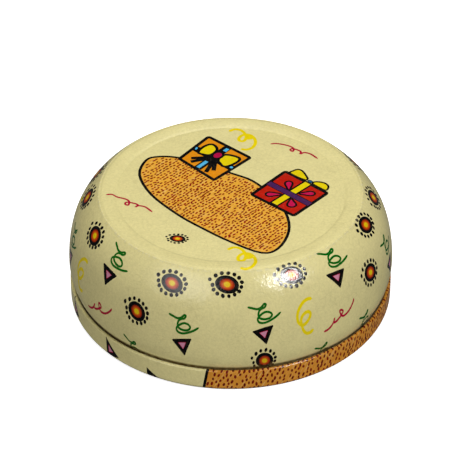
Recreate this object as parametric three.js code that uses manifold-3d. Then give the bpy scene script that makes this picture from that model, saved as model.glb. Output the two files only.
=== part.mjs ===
// A squat round powder tin: a deep domed cover of printed tinplate that slips into a shallow
// tinplate pan. The pan holds a plastic tub of talc. A pierced plate closes the tub, and a
// slotted shutter turns on the plate to open and shut its holes. A velour puff with a ribbon
// lies on top. Millimetres, +Z up, origin at the centre of the face that the pan stands on.
import * as THREE from "three";
import { mergeVertices } from "three/addons/utils/BufferGeometryUtils.js";
import Module from "manifold-3d";

// Driving dimensions.
const TIN_HEIGHT = 45.6;
const TINPLATE = 0.3; // sheet thickness
const GAP = 0.1; // air between pieces that rest on each other
const ROUND_STEPS = 48; // facets round every large turned piece
const SMALL_STEPS = 16; // and round the rivet

const COVER = {
  widest: [60, 17.4], // radius and height
  shoulder: [58.5, 29.6], // where the side starts to turn in faster
  crease: [48.3, 45.3], // the sharp edge round the flat top
  crestRadius: 47.3, // outer edge of the flat ring
  stepOuter: 44.1, // the pressed step between the ring and the sunk panel
  stepInner: 41.6,
  panelDrop: 0.4,
  neckTop: [58.2, 9.3], // the straight neck that enters the pan
  neckBottom: 0.6,
  hemHeight: 2.2, // the neck's edge is folded inwards on itself
};

const PAN = {
  radius: 59.8,
  height: 9.2,
  cornerRadius: 2.4,
  curlRadius: 0.7, // the rim is curled inwards
  curlTurn: 290, // degrees
  curlReach: 1.5, // from the rim's top down to the underside of the curl
  standRadius: 49.5, // inner edge of the ring that it stands on
  panelRadius: 47,
  panelRise: 0.8,
};

const LINER = { radius: 46.5, thickness: 0.8 };

const TUB = {
  wall: 1.2,
  radius: 53.6,
  cornerRadius: 2,
  height: 22.5,
  seatRadius: 54, // the recess that holds the sifter plate
  seatDepth: 3.2,
  flangeRadius: 56.6,
  flangeDepth: 1.4,
};

const TALC = { headspace: 2.2, crown: 0.8 };

const SIFTER = {
  thickness: 1.2,
  rimWidth: 1.8,
  rimHeight: 2, // the puff lies on this rim
  rows: 12, // radial rows of holes
  holeRadius: 1.3,
  rowRadii: [16, 23, 30, 37],
};

const SHUTTER = {
  radius: 49,
  thickness: 0.8,
  slotWidth: 3.2,
  slotEnds: [16, 37],
  tab: [9, 2.4, 0.9], // length, width and height
  tabRadius: 45,
  turn: 15, // degrees from shut to open
  notchDepth: 3,
  notchPlay: 1,
};

const STOP = { width: 4, depth: 2.2, height: 0.9 }; // the lug that ends the shutter's turn

const RIVET = { shaft: 1.5, head: 3.4, headHeight: 0.9, headEdge: 0.3, foot: 2.6, footHeight: 0.7 };

const PUFF = {
  radius: 47,
  pileThickness: 8,
  pileRound: 3.2,
  pipingRadius: 1.1,
  backRadius: 43, // inside the piping
  backEdge: 2, // thickness of the back at its edge
  backCrown: 4.4, // and at its middle
};

const RIBBON = { span: 46, width: 16, thickness: 0.6, rise: 6.8, foot: 5 };

// Heights that follow from the stack, from the pan's floor up.
const linerBase = PAN.panelRise + TINPLATE + GAP;
const tubBase = linerBase + LINER.thickness + GAP;
const tubTop = tubBase + TUB.height;
const sifterBase = tubTop - TUB.seatDepth + GAP;
const sifterTop = sifterBase + SIFTER.thickness;
const shutterBase = sifterTop + GAP;
const shutterTop = shutterBase + SHUTTER.thickness;
const puffBase = sifterTop + SIFTER.rimHeight + GAP;
const backBase = puffBase + PUFF.pileThickness + GAP;

const UP = Math.PI / 2;
const { degToRad, smoothstep } = THREE.MathUtils;

// Points of the arc that leaves start at the angle heading, in the r-z plane, and ends at end.
function tangentArc(start, heading, end, steps) {
  const chord = Math.atan2(end[1] - start[1], end[0] - start[0]);
  const length = Math.hypot(end[0] - start[0], end[1] - start[1]);
  const half = chord - heading;
  const radius = length / (2 * Math.sin(half));
  const points = [];
  for (let i = 0; i <= steps; i++) {
    const part = (half * i) / steps;
    const reach = 2 * radius * Math.sin(part);
    const along = heading + part;
    points.push([start[0] + reach * Math.cos(along), start[1] + reach * Math.sin(along)]);
  }
  return points;
}

// The angle at which tangentArc arrives at its end.
function arrival(start, heading, end) {
  return 2 * Math.atan2(end[1] - start[1], end[0] - start[0]) - heading;
}

// Points of a circular arc about a centre, between two angles in degrees.
function arc(centre, radius, from, to, steps) {
  const points = [];
  for (let i = 0; i <= steps; i++) {
    const a = degToRad(from + ((to - from) * i) / steps);
    points.push([centre[0] + radius * Math.cos(a), centre[1] + radius * Math.sin(a)]);
  }
  return points;
}

// A smooth step from one point to another, level at both ends.
function softStep(from, to, steps) {
  const points = [];
  for (let i = 0; i <= steps; i++) {
    const t = i / steps;
    const rise = smoothstep(t, 0, 1);
    points.push([from[0] + (to[0] - from[0]) * t, from[1] + (to[1] - from[1]) * rise]);
  }
  return points;
}

// The outline moved sideways, to its left for a positive distance.
function beside(outline, distance) {
  return outline.map(([r, z], i) => {
    const before = outline[Math.max(i - 1, 0)];
    const after = outline[Math.min(i + 1, outline.length - 1)];
    const length = Math.hypot(after[0] - before[0], after[1] - before[1]);
    const right = [(after[1] - before[1]) / length, (before[0] - after[0]) / length];
    return [r - distance * right[0], z - distance * right[1]];
  });
}

// A solid turned about Z from an outline that starts and ends on the axis, or closes on itself.
function turned(outline, steps = ROUND_STEPS) {
  const points = outline.map(([r, z]) => new THREE.Vector2(Math.max(r, 0), z));
  return new THREE.LatheGeometry(points, steps).rotateX(UP);
}

// The outline of a flat ring, or of a disc when inner is 0.
function ringOutline(inner, outer, low, high) {
  const outline = [[inner, low], [outer, low], [outer, high], [inner, high]];
  return inner > 0 ? [...outline, outline[0]] : outline;
}

const wasm = await Module();
wasm.setup();

function solidOf(geometry) {
  const bare = geometry.clone();
  bare.deleteAttribute("normal");
  bare.deleteAttribute("uv");
  const merged = mergeVertices(bare, 1e-3);
  const vertProperties = merged.attributes.position.array;
  const triVerts = new Uint32Array(merged.index.array);
  return new wasm.Manifold(new wasm.Mesh({ numProp: 3, vertProperties, triVerts }));
}

function geometryOf(solid) {
  const mesh = solid.getMesh();
  const geometry = new THREE.BufferGeometry();
  geometry.setAttribute("position", new THREE.BufferAttribute(mesh.vertProperties, mesh.numProp));
  geometry.setIndex(new THREE.BufferAttribute(mesh.triVerts, 1));
  const flat = geometry.toNonIndexed();
  flat.computeVertexNormals();
  return flat;
}

// From the middle of the top, over the shoulder and down to the edge of the neck.
function coverOutline() {
  const panelHeight = TIN_HEIGHT - COVER.panelDrop;
  const turn = arrival(COVER.widest, UP, COVER.shoulder);
  const side = tangentArc(COVER.widest, UP, COVER.shoulder, 3);
  const shoulder = tangentArc(COVER.shoulder, turn, COVER.crease, 5).slice(1);
  const tuck = tangentArc(COVER.widest, -UP, COVER.neckTop, 3).slice(1);
  return [
    [0, panelHeight],
    ...softStep([COVER.stepInner, panelHeight], [COVER.stepOuter, TIN_HEIGHT], 3),
    [COVER.crestRadius, TIN_HEIGHT],
    ...[...side, ...shoulder].reverse(),
    ...tuck,
    [COVER.neckTop[0], COVER.neckBottom],
  ];
}

function coverShell() {
  const outside = coverOutline();
  const inside = beside(outside, -TINPLATE);
  const neck = COVER.neckTop[0];
  const hemTop = COVER.neckBottom + COVER.hemHeight;
  const hem = [
    [neck - 2 * TINPLATE, COVER.neckBottom],
    [neck - 2 * TINPLATE, hemTop],
    [neck - TINPLATE, hemTop],
  ];
  return turned([...outside, ...hem, ...inside.slice(0, -1).reverse()].reverse());
}

// From the middle of the underside to the top of the straight wall.
function panOutline() {
  const corner = [PAN.radius - PAN.cornerRadius, PAN.cornerRadius];
  return [
    [0, PAN.panelRise],
    ...softStep([PAN.panelRadius, PAN.panelRise], [PAN.standRadius, 0], 3),
    ...arc(corner, PAN.cornerRadius, -90, 0, 4),
    [PAN.radius, PAN.height - PAN.curlRadius],
  ];
}

function basePan() {
  const outside = panOutline();
  const inside = beside(outside, TINPLATE);
  const curlCentre = [PAN.radius - PAN.curlRadius, PAN.height - PAN.curlRadius];
  const curl = arc(curlCentre, PAN.curlRadius, 0, PAN.curlTurn, 9).slice(1);
  const underCurl = [PAN.radius - TINPLATE, PAN.height - PAN.curlReach];
  return turned([...outside, ...curl, underCurl, ...inside.slice(0, -1).reverse()]);
}

function cardLiner() {
  return turned(ringOutline(0, LINER.radius, linerBase, linerBase + LINER.thickness));
}

function powderTub() {
  const corner = [TUB.radius - TUB.cornerRadius, tubBase + TUB.cornerRadius];
  const inner = TUB.radius - TUB.wall;
  const collar = TUB.seatRadius + TUB.wall;
  const seat = tubTop - TUB.seatDepth;
  const flangeBase = tubTop - TUB.flangeDepth;
  return turned([
    [0, tubBase],
    ...arc(corner, TUB.cornerRadius, -90, 0, 3),
    [TUB.radius, seat - 2 * TUB.wall],
    [collar, seat - TUB.wall / 2],
    [collar, flangeBase],
    [TUB.flangeRadius, flangeBase],
    [TUB.flangeRadius, tubTop],
    [TUB.seatRadius, tubTop],
    [TUB.seatRadius, seat],
    [inner, seat],
    ...arc(corner, TUB.cornerRadius - TUB.wall, 0, -90, 2),
    [0, tubBase + TUB.wall],
  ]);
}

function talcFill() {
  const base = tubBase + TUB.wall + GAP;
  const level = sifterBase - TALC.headspace;
  const foot = TUB.radius - TUB.wall - 2 * GAP;
  return turned([
    [0, base],
    [foot - TUB.wall, base],
    [foot, base + TUB.wall],
    ...tangentArc([0, level], 0, [foot, level - TALC.crown], 4).reverse(),
  ]);
}

// Calls place with the angle of each radial row of the sifter, in radians.
function eachRow(firstDegrees, place) {
  for (let row = 0; row < SIFTER.rows; row++) {
    place(degToRad(firstDegrees + (360 * row) / SIFTER.rows));
  }
}

// A box whose base centre is at a radius and an angle in degrees, long along the tangent.
function tangentBox(length, width, height, radius, degrees, base) {
  const box = new THREE.BoxGeometry(width, length, height);
  return box.translate(radius, 0, base + height / 2).rotateZ(degToRad(degrees));
}

// The pierced dish. Its holes lie half a row away from the shutter's slots.
function sifterPlate() {
  const edge = TUB.seatRadius - 2 * GAP;
  const rim = edge - SIFTER.rimWidth;
  const bore = RIVET.shaft + GAP;
  const rimTop = sifterTop + SIFTER.rimHeight;
  const dish = turned([
    [bore, sifterBase],
    [edge, sifterBase],
    [edge, rimTop],
    [rim, rimTop],
    [rim, sifterTop],
    [bore, sifterTop],
    [bore, sifterBase],
  ]);
  const radius = SIFTER.holeRadius;
  const drill = new THREE.CylinderGeometry(radius, radius, 3 * SIFTER.thickness, 8).rotateX(UP);
  const lugRadius = SHUTTER.radius - STOP.depth / 2 + GAP;
  const lug = tangentBox(STOP.width, STOP.depth, STOP.height, lugRadius, 90, sifterTop - GAP);
  let plate = solidOf(dish).add(solidOf(lug));
  eachRow(180 / SIFTER.rows, (angle) => {
    for (const reach of SIFTER.rowRadii) {
      const hole = drill.clone().translate(reach, 0, sifterBase).rotateZ(angle);
      plate = plate.subtract(solidOf(hole));
    }
  });
  return geometryOf(plate);
}

// A slot with round ends, lying along +X.
function slotCutter() {
  const [near, far] = SHUTTER.slotEnds;
  const half = SHUTTER.slotWidth / 2;
  const shape = new THREE.Shape();
  shape.absarc(near, 0, half, UP, 3 * UP, false);
  shape.absarc(far, 0, half, -UP, UP, false);
  const cutter = new THREE.ExtrudeGeometry(shape, {
    depth: 3 * SHUTTER.thickness,
    bevelEnabled: false,
    curveSegments: 4,
  });
  return cutter.translate(0, 0, shutterBase - SHUTTER.thickness);
}

// The stretch of the shutter's edge that is cut away for the stop lug: from just behind the
// lug, at 90 degrees, to as far ahead of it as the shutter turns.
function notchCutter() {
  const play = degToRad(SHUTTER.notchPlay);
  const lug = STOP.width / 2 / (SHUTTER.radius - SHUTTER.notchDepth);
  const from = UP - degToRad(SHUTTER.turn) - lug - play;
  const to = UP + lug + play;
  const shape = new THREE.Shape();
  shape.absarc(0, 0, SHUTTER.radius + 1, from, to, false);
  shape.absarc(0, 0, SHUTTER.radius - SHUTTER.notchDepth, to, from, true);
  const cutter = new THREE.ExtrudeGeometry(shape, {
    depth: 3 * SHUTTER.thickness,
    bevelEnabled: false,
    curveSegments: 6,
  });
  return cutter.translate(0, 0, shutterBase - SHUTTER.thickness);
}

function sifterShutter() {
  const disc = turned(ringOutline(RIVET.shaft + GAP, SHUTTER.radius, shutterBase, shutterTop));
  const [length, width, height] = SHUTTER.tab;
  const tab = tangentBox(length, width, height + GAP, SHUTTER.tabRadius, -90, shutterTop - GAP);
  const slot = slotCutter();
  let shutter = solidOf(disc).add(solidOf(tab)).subtract(solidOf(notchCutter()));
  eachRow(0, (angle) => {
    shutter = shutter.subtract(solidOf(slot.clone().rotateZ(angle)));
  });
  return geometryOf(shutter);
}

function sifterRivet() {
  const footTop = sifterBase - GAP;
  const headBase = shutterTop + GAP;
  const headEdge = [RIVET.head, headBase + RIVET.headEdge];
  return turned(
    [
      [0, footTop - RIVET.footHeight],
      [RIVET.foot, footTop - RIVET.footHeight],
      [RIVET.foot, footTop],
      [RIVET.shaft, footTop],
      [RIVET.shaft, headBase],
      [RIVET.head, headBase],
      ...tangentArc([0, headBase + RIVET.headHeight], 0, headEdge, 3).reverse(),
    ],
    SMALL_STEPS,
  );
}

function puffPile() {
  const edge = PUFF.radius - PUFF.pileRound;
  const top = puffBase + PUFF.pileThickness;
  return turned([
    [0, puffBase],
    ...arc([edge, puffBase + PUFF.pileRound], PUFF.pileRound, -90, 0, 3),
    ...arc([edge, top - PUFF.pileRound], PUFF.pileRound, 0, 90, 3),
    [0, top],
  ]);
}

// Height of the puff's crowned back at a radius.
function backHeight(r) {
  const drop = PUFF.backCrown - PUFF.backEdge;
  const radius = (PUFF.backRadius ** 2 + drop ** 2) / (2 * drop);
  return backBase + PUFF.backCrown - radius + Math.sqrt(radius ** 2 - r ** 2);
}

function puffBack() {
  const steps = 5;
  const crown = [];
  for (let i = steps; i >= 0; i--) {
    const r = (PUFF.backRadius * i) / steps;
    crown.push([r, backHeight(r)]);
  }
  return turned([[0, backBase], [PUFF.backRadius, backBase], ...crown]);
}

function puffPiping() {
  const centre = [PUFF.backRadius + PUFF.pipingRadius + 2 * GAP, backBase + PUFF.pipingRadius];
  return turned(arc(centre, PUFF.pipingRadius, 0, 360, 6));
}

// A flat satin band, arched over the back of the puff from one stitched foot to the other.
function puffRibbon() {
  const half = RIBBON.span / 2;
  const end = half + RIBBON.foot;
  const top = backBase + PUFF.backCrown + GAP + RIBBON.rise;
  const underside = [
    [end, backHeight(end) + GAP],
    ...softStep([half, backHeight(half) + GAP], [0, top - RIBBON.thickness], 7),
  ];
  const upperside = underside.map(([x, z]) => [x, z + RIBBON.thickness]);
  const mirrored = (points) => points.slice(0, -1).map(([x, z]) => [-x, z]);
  const over = [...upperside, ...mirrored(upperside).reverse()];
  const under = [...mirrored(underside), ...underside.toReversed()];
  const shape = new THREE.Shape([...over, ...under].map(([x, z]) => new THREE.Vector2(x, z)));
  const band = new THREE.ExtrudeGeometry(shape, { depth: RIBBON.width, bevelEnabled: false });
  return band.rotateX(UP).translate(0, RIBBON.width / 2, 0);
}

const COLOURS = {
  coverPrint: { color: 0xddd399, roughness: 0.3, metalness: 0.0 },
  panPrint: { color: 0xc9a45a, roughness: 0.32, metalness: 0.0 },
  card: { color: 0xb9a184, roughness: 0.9, metalness: 0.0 },
  tubPlastic: { color: 0xf2efe6, roughness: 0.4, metalness: 0.0 },
  shutterPlastic: { color: 0xd8a23f, roughness: 0.35, metalness: 0.0 },
  talc: { color: 0xf8f6f0, roughness: 1.0, metalness: 0.0 },
  pile: { color: 0xf4e6dc, roughness: 1.0, metalness: 0.0 },
  satin: { color: 0xc9697e, roughness: 0.45, metalness: 0.0 },
};

const PIECES = [
  ["base_pan", basePan, "panPrint"],
  ["card_liner", cardLiner, "card"],
  ["powder_tub", powderTub, "tubPlastic"],
  ["talc_fill", talcFill, "talc"],
  ["sifter_plate", sifterPlate, "tubPlastic"],
  ["sifter_shutter", sifterShutter, "shutterPlastic"],
  ["sifter_rivet", sifterRivet, "tubPlastic"],
  ["puff_pile", puffPile, "pile"],
  ["puff_back", puffBack, "satin"],
  ["puff_piping", puffPiping, "satin"],
  ["puff_ribbon", puffRibbon, "satin"],
  ["cover_shell", coverShell, "coverPrint"],
];

const tin = new THREE.Group();
for (const [name, make, colours] of PIECES) {
  const mesh = new THREE.Mesh(make(), new THREE.MeshStandardMaterial(COLOURS[colours]));
  mesh.name = name;
  tin.add(mesh);
}

export default tin;
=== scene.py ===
"""The looks of the powder tin: printed tinplate cover and pan, plastic sifter, talc and velour puff.

Shapes are worked out in millimetres and made in metres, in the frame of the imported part.
"""

import functools
import math
import random

import bmesh
import bpy
import numpy as np
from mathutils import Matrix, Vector, noise
from mathutils.geometry import delaunay_2d_cdt


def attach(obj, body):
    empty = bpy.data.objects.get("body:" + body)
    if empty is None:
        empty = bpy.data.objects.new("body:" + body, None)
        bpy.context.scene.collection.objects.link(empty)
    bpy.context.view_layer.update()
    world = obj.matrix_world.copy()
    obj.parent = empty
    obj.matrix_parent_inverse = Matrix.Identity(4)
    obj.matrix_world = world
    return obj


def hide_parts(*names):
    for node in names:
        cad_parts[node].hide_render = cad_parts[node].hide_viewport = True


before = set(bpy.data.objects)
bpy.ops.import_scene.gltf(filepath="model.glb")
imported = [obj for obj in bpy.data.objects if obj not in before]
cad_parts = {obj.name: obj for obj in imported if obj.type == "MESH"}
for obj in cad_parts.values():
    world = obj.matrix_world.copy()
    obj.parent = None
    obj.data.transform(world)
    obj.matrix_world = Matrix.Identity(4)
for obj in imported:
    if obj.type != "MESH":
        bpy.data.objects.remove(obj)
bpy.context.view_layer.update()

MM = 0.001
SPOKES = 144  # facets round a large turned piece
TINPLATE = 0.3

# ---------------------------------------------------------------- outlines, in millimetres


def tangent_arc(start, heading, end, steps):
    """Points of the arc that leaves start at the angle heading and ends at end."""
    run, rise = end[0] - start[0], end[1] - start[1]
    half = math.atan2(rise, run) - heading
    radius = math.hypot(run, rise) / (2 * math.sin(half))
    points = []
    for i in range(steps + 1):
        part = half * i / steps
        reach = 2 * radius * math.sin(part)
        along = heading + part
        points.append((start[0] + reach * math.cos(along), start[1] + reach * math.sin(along)))
    return points


def arrival(start, heading, end):
    """The angle at which tangent_arc arrives at its end."""
    return 2 * math.atan2(end[1] - start[1], end[0] - start[0]) - heading


def arc(centre, radius, start, end, steps):
    """Points of a circular arc between two angles in degrees."""
    angles = np.radians(np.linspace(start, end, steps + 1))
    return [(centre[0] + radius * math.cos(a), centre[1] + radius * math.sin(a)) for a in angles]


def soft_step(start, end, steps):
    """A smooth step from one point to another, level at both ends."""
    points = []
    for t in np.linspace(0, 1, steps + 1):
        rise = t * t * (3 - 2 * t)
        points.append((start[0] + (end[0] - start[0]) * t, start[1] + (end[1] - start[1]) * rise))
    return points


def along_and_left(outline):
    """Unit vectors along an outline at each of its points, and to the left of it."""
    along = np.gradient(np.array(outline, float), axis=0)
    along /= np.maximum(np.linalg.norm(along, axis=1), 1e-9)[:, None]
    return along, np.stack([-along[:, 1], along[:, 0]], 1)


def beside(outline, distance):
    """The outline moved to its left, or to its right for a negative distance."""
    return np.array(outline, float) + distance * along_and_left(outline)[1]


def resampled(outline, spacing, rounding=0.0):
    """The outline at an even spacing, with its corners rounded over about that length."""
    points = np.array(outline, float)
    run = np.concatenate([[0], np.cumsum(np.linalg.norm(np.diff(points, axis=0), axis=1))])
    count = max(2, round(run[-1] / spacing))
    at = np.linspace(0, run[-1], count + 1)
    even = np.stack([np.interp(at, run, points[:, k]) for k in (0, 1)], 1)
    if rounding:
        reach = max(1, round(1.5 * rounding / spacing))
        weights = np.hanning(2 * reach + 3)[1:-1]
        weights /= weights.sum()
        before = 2 * even[0] - even[reach:0:-1]
        after = 2 * even[-1] - even[-2:-reach - 2:-1]
        padded = np.concatenate([before, even, after])
        even = np.stack([np.convolve(padded[:, k], weights, "valid") for k in (0, 1)], 1)
    return even


WIDEST, SHOULDER, CREASE = (60, 17.4), (58.5, 29.6), (48.4, 45.32)
TIN_TOP, PANEL_TOP = 45.6, 44.9
NECK_TOP, NECK_BOTTOM, FOLD = (58.2, 9.3), 0.6, 0.3
PAN_WALL, PAN_CORNER, CURL = 59.8, 2.4, 0.7
CURL_HEIGHT = 8.5


def cover_outline():
    """From the middle of the top, over the shoulder and down to the fold of the neck."""
    up = math.pi / 2
    side = tangent_arc(WIDEST, up, SHOULDER, 24)
    shoulder = tangent_arc(SHOULDER, arrival(WIDEST, up, SHOULDER), CREASE, 40)[1:]
    tuck = tangent_arc(WIDEST, -up, NECK_TOP, 20)[1:]
    bead = [(41.9, PANEL_TOP), (43.0, TIN_TOP - 0.32), (45.0, TIN_TOP - 0.07), (45.9, TIN_TOP)]
    groove = [(47.15, TIN_TOP), (47.85, 45.33), (48.1, 45.25)]
    neck = [(NECK_TOP[0], NECK_BOTTOM + FOLD)]
    return [(0, PANEL_TOP), *bead, *groove, *(side + shoulder)[::-1], *tuck, *neck]


def pan_outline():
    """From the middle of the underside, up the wall and round the curl."""
    step = soft_step((47, 0.8), (49.5, 0), 12)
    corner = arc((PAN_WALL - PAN_CORNER, PAN_CORNER), PAN_CORNER, -90, 0, 10)
    curl = arc((PAN_WALL - CURL, CURL_HEIGHT), CURL, 0, 290, 24)
    return [(0, 0.8), *step, *corner, *curl]


class Profile:
    """A turned outline, with the radius in a flat round blank that each of its points is drawn from.

    Drawing keeps the area of the metal, so a blank radius squared is twice the sum of r ds.
    """

    def __init__(self, outline, outward):
        points = resampled(outline, 0.05, 0.14)
        points[0, 0] = 0
        step = np.linalg.norm(np.diff(points, axis=0), axis=1)
        middle = (points[1:, 0] + points[:-1, 0]) / 2
        self.points = points
        self.length = np.concatenate([[0], np.cumsum(step)])
        self.blank = np.sqrt(2 * np.concatenate([[0], np.cumsum(middle * step)]))
        self.normals = outward * along_and_left(points)[1]

    def blank_of(self, length):
        return np.interp(length, self.length, self.blank)

    def drawn(self, flat):
        """Points and normals in space of points in the flat blank."""
        reach = np.hypot(flat[:, 0], flat[:, 1])
        radius, height = (np.interp(reach, self.blank, self.points[:, k]) for k in (0, 1))
        out, up = (np.interp(reach, self.blank, self.normals[:, k]) for k in (0, 1))
        way = flat / np.maximum(reach, 1e-9)[:, None]
        place = np.stack([way[:, 0] * radius, way[:, 1] * radius, height], 1)
        normal = np.stack([way[:, 0] * out, way[:, 1] * out, up], 1)
        return place, normal / np.linalg.norm(normal, axis=1)[:, None]


cover_profile = Profile(cover_outline(), 1)
pan_profile = Profile(pan_outline(), -1)

# ---------------------------------------------------------------- inks


def linear(red, green, blue):
    """Scene-linear colour of an 8-bit display colour."""
    share = np.array([red, green, blue]) / 255
    return np.where(share <= 0.04045, share / 12.92, ((share + 0.055) / 1.055) ** 2.4)


def rgba(red, green, blue):
    return (*linear(red, green, blue), 1.0)


GROUND = linear(228, 217, 155)
BLACK = linear(3, 3, 4)
AMBER, BAND_AMBER = linear(236, 172, 56), linear(218, 144, 46)
DASH = linear(132, 24, 0)
GREEN = linear(4, 98, 14)
YELLOW = linear(234, 210, 0)
CRIMSON = linear(174, 2, 50)
PINK = linear(206, 136, 164)
RED = linear(190, 26, 4)
ORANGE = linear(230, 144, 14)
PURPLE = linear(72, 30, 88)
MAGENTA = linear(200, 10, 78)
SKY = linear(84, 184, 234)
NAVY = linear(28, 92, 140)


class Ink:
    """One colour, or two that run from the middle of an ellipse to its edge."""

    def __init__(self, colour, edge=None, centre=(0, 0), size=1.0, field=0.0):
        self.colour, self.edge = colour, colour if edge is None else edge
        self.centre, self.size, self.field = np.array(centre), size, field

    def at(self, points):
        share = np.linalg.norm(points - self.centre, axis=-1) / self.size
        share = np.clip(share, 0, 1)[..., None]
        return self.colour * (1 - share) + self.edge * share


# ---------------------------------------------------------------- drawing in the flat blank


def smooth(points, steps=4, closed=False):
    """A Catmull-Rom curve through the points."""
    knots = np.array(points, float)
    if closed:
        knots = np.concatenate([knots[-1:], knots, knots[:2]])
    else:
        knots = np.concatenate([2 * knots[:1] - knots[1:2], knots, 2 * knots[-1:] - knots[-2:-1]])
    curve = []
    for a, b, c, d in zip(knots[:-3], knots[1:-2], knots[2:-1], knots[3:]):
        for t in np.arange(steps) / steps:
            curve.append(b + t * (c - a) / 2 + t * t * (a - 2.5 * b + 2 * c - d / 2)
                         + t ** 3 * (1.5 * b - 1.5 * c + d / 2 - a / 2))
    if not closed:
        curve.append(knots[-2])
    return np.array(curve)


def stroke(points, width, taper=0.55):
    """The outline of a pen stroke along the points, a little thinner at its ends."""
    line = np.array(points, float)
    along, left = along_and_left(line)
    half = np.full((len(line), 1), width / 2)
    half[0] = half[-1] = width / 2 * taper
    start = line[:1] - along[:1] * width * 0.3
    end = line[-1:] + along[-1:] * width * 0.3
    return np.concatenate([start, line - left * half, end, (line + left * half)[::-1]])


def ellipse(centre, wide, high, tilt=0.0, count=20):
    angles = np.linspace(0, 2 * math.pi, count, endpoint=False)
    points = np.stack([wide * np.cos(angles), high * np.sin(angles)], 1)
    return turn(points, tilt) + np.array(centre)


def turn(points, degrees):
    a = math.radians(degrees)
    matrix = np.array([[math.cos(a), math.sin(a)], [-math.sin(a), math.cos(a)]])
    return np.array(points, float) @ matrix


def grown(polygon, distance):
    """A convex outline moved outwards, with its corners cut round."""
    points = np.array(polygon, float)
    if np.cross(points[1] - points[0], points[2] - points[1]) < 0:
        points = points[::-1]
    result = []
    for i, corner in enumerate(points):
        into, away = corner - points[i - 1], points[(i + 1) % len(points)] - corner
        start = math.atan2(-into[0], into[1])
        sweep = (math.atan2(-away[0], away[1]) - start) % (2 * math.pi)
        for t in (0, 0.33, 0.67, 1):
            a = start + sweep * t
            result.append(corner + distance * np.array([math.cos(a), math.sin(a)]))
    return np.array(result)


class Sheet:
    """The artwork of one blank: outlines in paint order, each with its ink."""

    def __init__(self):
        self.shapes = []

    def paint(self, outline, ink):
        self.shapes.append((np.array(outline, float), ink if isinstance(ink, Ink) else Ink(ink)))

    def edged(self, outline, ink, edge, width):
        """A shape with an outline of another ink round it."""
        self.paint(grown(outline, width), edge)
        self.paint(outline, ink)


class Spot:
    """A place on the cover's blank: right is along the rim and up is towards the middle."""

    def __init__(self, azimuth, length, tilt=0.0):
        a = math.radians(azimuth)
        self.origin = cover_profile.blank_of(length) * np.array([math.sin(a), -math.cos(a)])
        self.tilt = math.degrees(a) + tilt

    def on(self, points):
        return turn(points, self.tilt) + self.origin


SUN_BLOBS = 15
EMBER_RIM, EMBER_EDGE, EMBER = linear(136, 32, 0), linear(188, 56, 2), linear(208, 98, 4)
EMBER_WARM, EMBER_GOLD, EMBER_HEART = linear(226, 144, 4), linear(230, 190, 2), linear(232, 222, 2)


def paint_sun(sheet, spot, rng, size=1.0):
    """A glowing oval in a black ring, with a row of black blobs round it."""
    tilt = -12
    for k in range(SUN_BLOBS):
        angle = math.radians(158 - 360 / SUN_BLOBS * k)
        out = (1.22, 1.12, 1.05)[k] if k < 3 else 1.0
        out *= rng.uniform(0.98, 1.03) * size
        centre = (5.35 * out * math.cos(angle), 3.95 * out * math.sin(angle))
        wide, high = rng.uniform(0.68, 0.86) * size, rng.uniform(0.66, 0.8) * size
        blob = ellipse(centre, wide, high, math.degrees(angle) * 0.5 + rng.uniform(-20, 20), 8)
        sheet.paint(spot.on(blob), BLACK)
    sheet.paint(spot.on(ellipse((0, 0), 4.4 * size, 3.1 * size, tilt, 28)), BLACK)
    rings = [(1.0, EMBER_EDGE, EMBER_RIM), (0.82, EMBER, EMBER_EDGE), (0.62, EMBER_WARM, EMBER),
             (0.44, EMBER_HEART, EMBER_GOLD)]
    for share, middle, edge in rings:
        outline = spot.on(ellipse((0, 0), 2.8 * share * size, 1.98 * share * size, tilt, 20))
        sheet.paint(outline, Ink(middle, edge, spot.origin, 2.5 * share * size))


def paint_triangle(sheet, spot):
    """A hanging black triangle with a pink window edged in crimson."""
    sheet.paint(spot.on(grown([(-4.5, 1.2), (3.6, 2.4), (0.9, -3.4)], 0.3)), BLACK)
    window = [(-1.8, 0.5), (1.42, 0.95), (0.3, -1.35)]
    sheet.paint(spot.on(grown(window, 0.16)), CRIMSON)
    sheet.paint(spot.on(window), PINK)


GREEN_CURL = [(-5.7, 3.6), (-4.2, 3.1), (-2.2, 2.5), (-0.6, 2.9), (0.6, 3.9), (1.3, 3.7),
              (0.7, 2.8), (-0.6, 2.4), (-1.6, 1.6), (-1.9, 0.2), (-1.3, -0.7), (0.5, -1.2),
              (2.6, -0.9), (3.5, 0.1), (2.6, 1.0), (0.8, 1.2), (-1, 0.4), (-2.3, -0.8),
              (-1.8, -2), (0.2, -2.4), (2.6, -1.8), (5, -0.7), (7, 0.7)]
YELLOW_CURL = [(4.4, 6.6), (3, 6.8), (1, 6.3), (-1, 4.8), (-2.3, 3), (-2.7, 1), (-2.2, -0.5),
               (-0.5, -1.5), (1.5, -0.8), (3, 0.8), (3.2, 2), (2, 2.6), (0.2, 2.1), (-1, 0.9),
               (-1.2, -0.5), (-0.9, -2), (-0.3, -3.5), (1, -4.6), (2.8, -4.7), (4.4, -4)]
CRIMSON_CURL = [(-9, -2.2), (-7, -2.3), (-5, -1.8), (-3.6, -0.9), (-2.8, 0.4), (-3.3, -1.0),
                (-2, -1.1), (-0.3, -0.5), (1.2, 0.3), (2.2, 1.1), (1.3, 1.9), (0.3, 1.8),
                (0.8, 0.4), (1.8, -0.4), (3, -0.5), (5, 0), (7, 1.2), (8.6, 2.8), (9, 3.6)]
GOLD_LOOPS = [(-0.5, 39.8), (1.5, 41), (3.8, 40.3), (5.3, 38), (5.8, 35.5), (4.8, 33.2),
              (3.2, 33.5), (3.1, 35.3), (4.6, 37.2), (7, 37.3), (8.8, 35), (9.2, 31.8),
              (8, 28.8), (5.8, 27.5), (4, 27.9)]
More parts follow.
